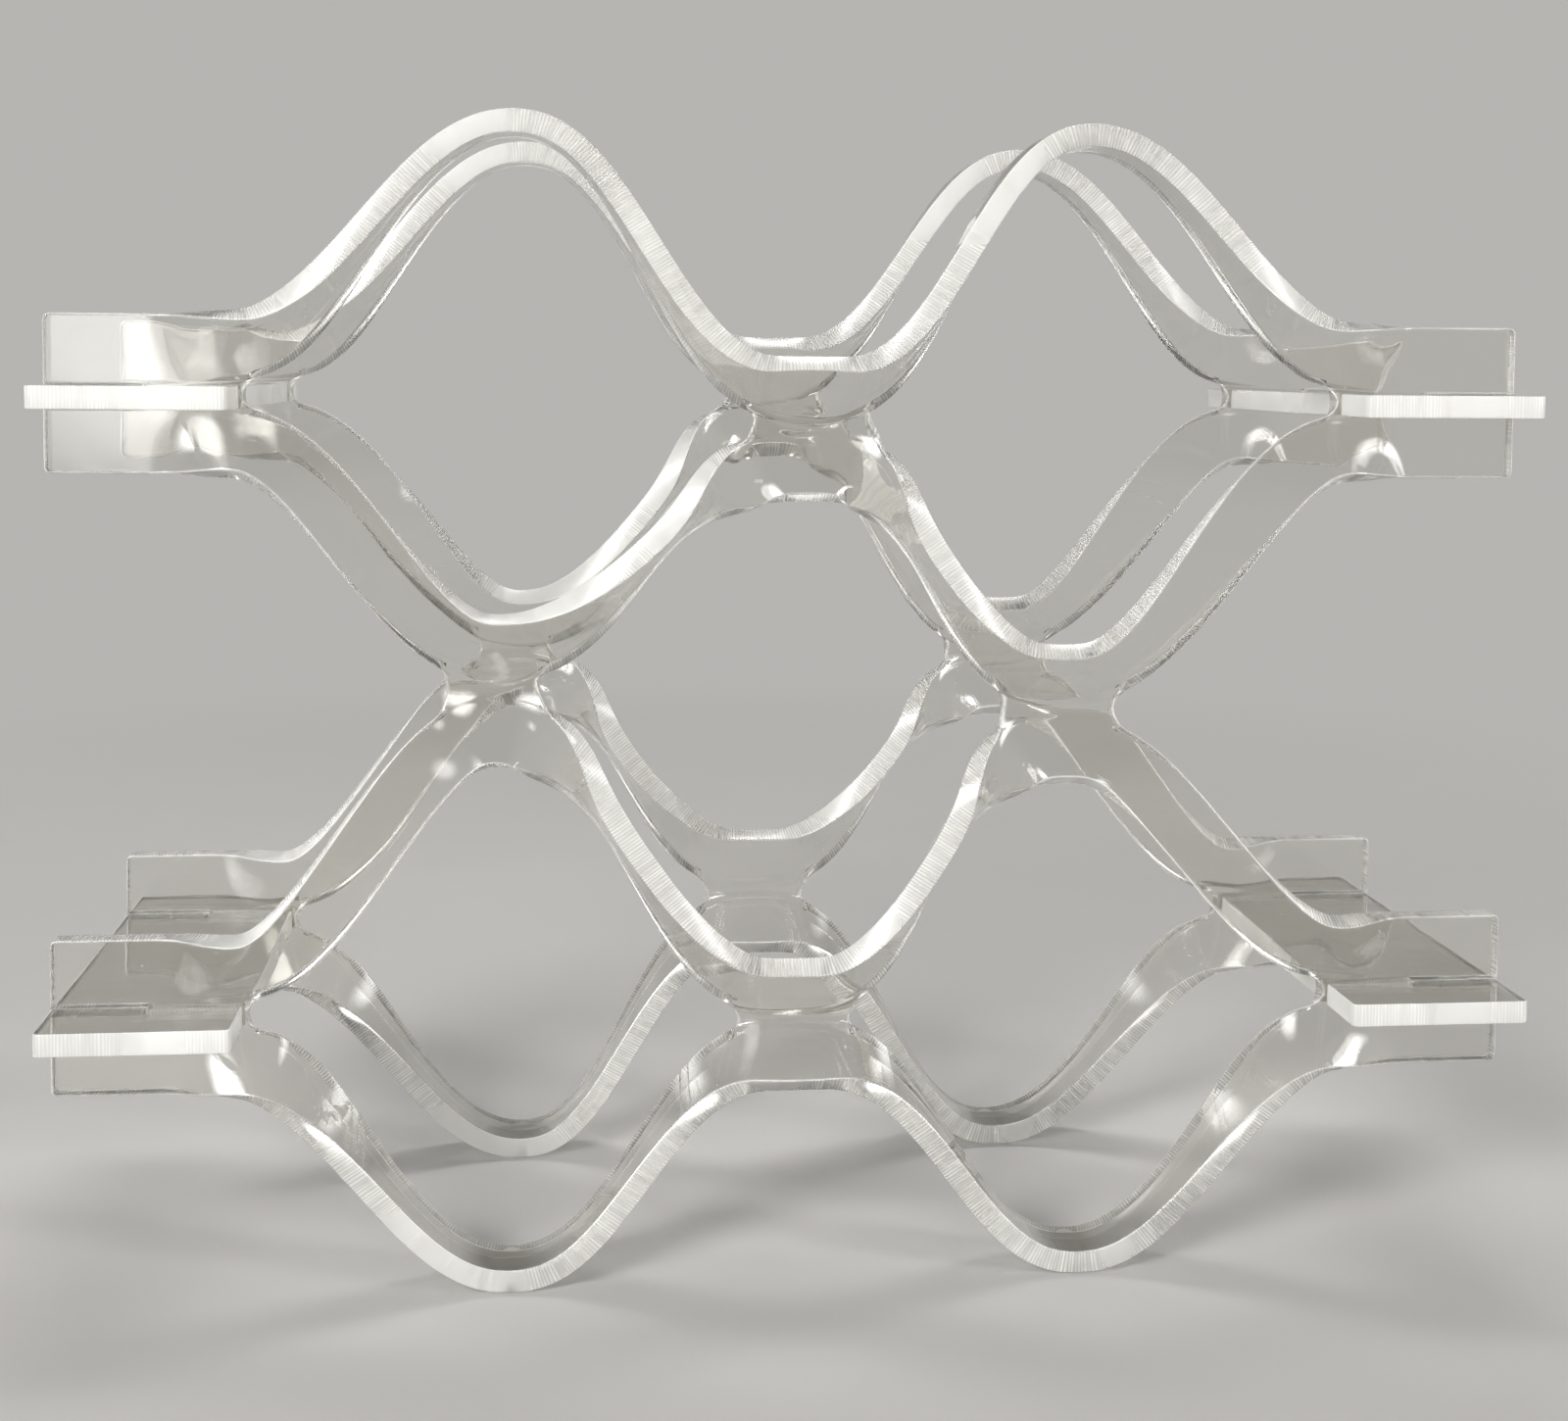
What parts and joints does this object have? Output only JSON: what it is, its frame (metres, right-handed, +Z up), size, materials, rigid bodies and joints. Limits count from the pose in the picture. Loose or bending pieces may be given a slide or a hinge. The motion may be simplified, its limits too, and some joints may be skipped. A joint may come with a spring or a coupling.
{
  "type": "wine rack",
  "caption": "Clear acrylic table-top wine rack: two slit and expanded lattice panels tied by boards slotted into their ends.",
  "frame": {"origin": "bottom centre of the whole rack, on the surface it stands on", "axes": "+Z up, +Y from the front panel to the back panel, +X to the right seen from the front"},
  "size_m": [0.412, 0.15, 0.3292],
  "materials": {
    "clear_acrylic": "polished"
  },
  "bodies": {
    "panels": {"front_panel": "clear_acrylic", "back_panel": "clear_acrylic"},
    "upper_left_board_body": {"upper_left_board": "clear_acrylic"},
    "upper_right_board_body": {"upper_right_board": "clear_acrylic"},
    "lower_left_board_body": {"lower_left_board": "clear_acrylic"},
    "lower_right_board_body": {"lower_right_board": "clear_acrylic"}
  },
  "joints": [
    {"name": "upper_left_board_slide", "type": "slide", "parent": "panels", "child": "upper_left_board_body", "axis": [-1, 0, 0], "range_m": [0, 0.055]},
    {"name": "upper_right_board_slide", "type": "slide", "parent": "panels", "child": "upper_right_board_body", "axis": [1, 0, 0], "range_m": [0, 0.055]},
    {"name": "lower_left_board_slide", "type": "slide", "parent": "panels", "child": "lower_left_board_body", "axis": [-1, 0, 0], "range_m": [0, 0.055]},
    {"name": "lower_right_board_slide", "type": "slide", "parent": "panels", "child": "lower_right_board_body", "axis": [1, 0, 0], "range_m": [0, 0.055]}
  ]
}
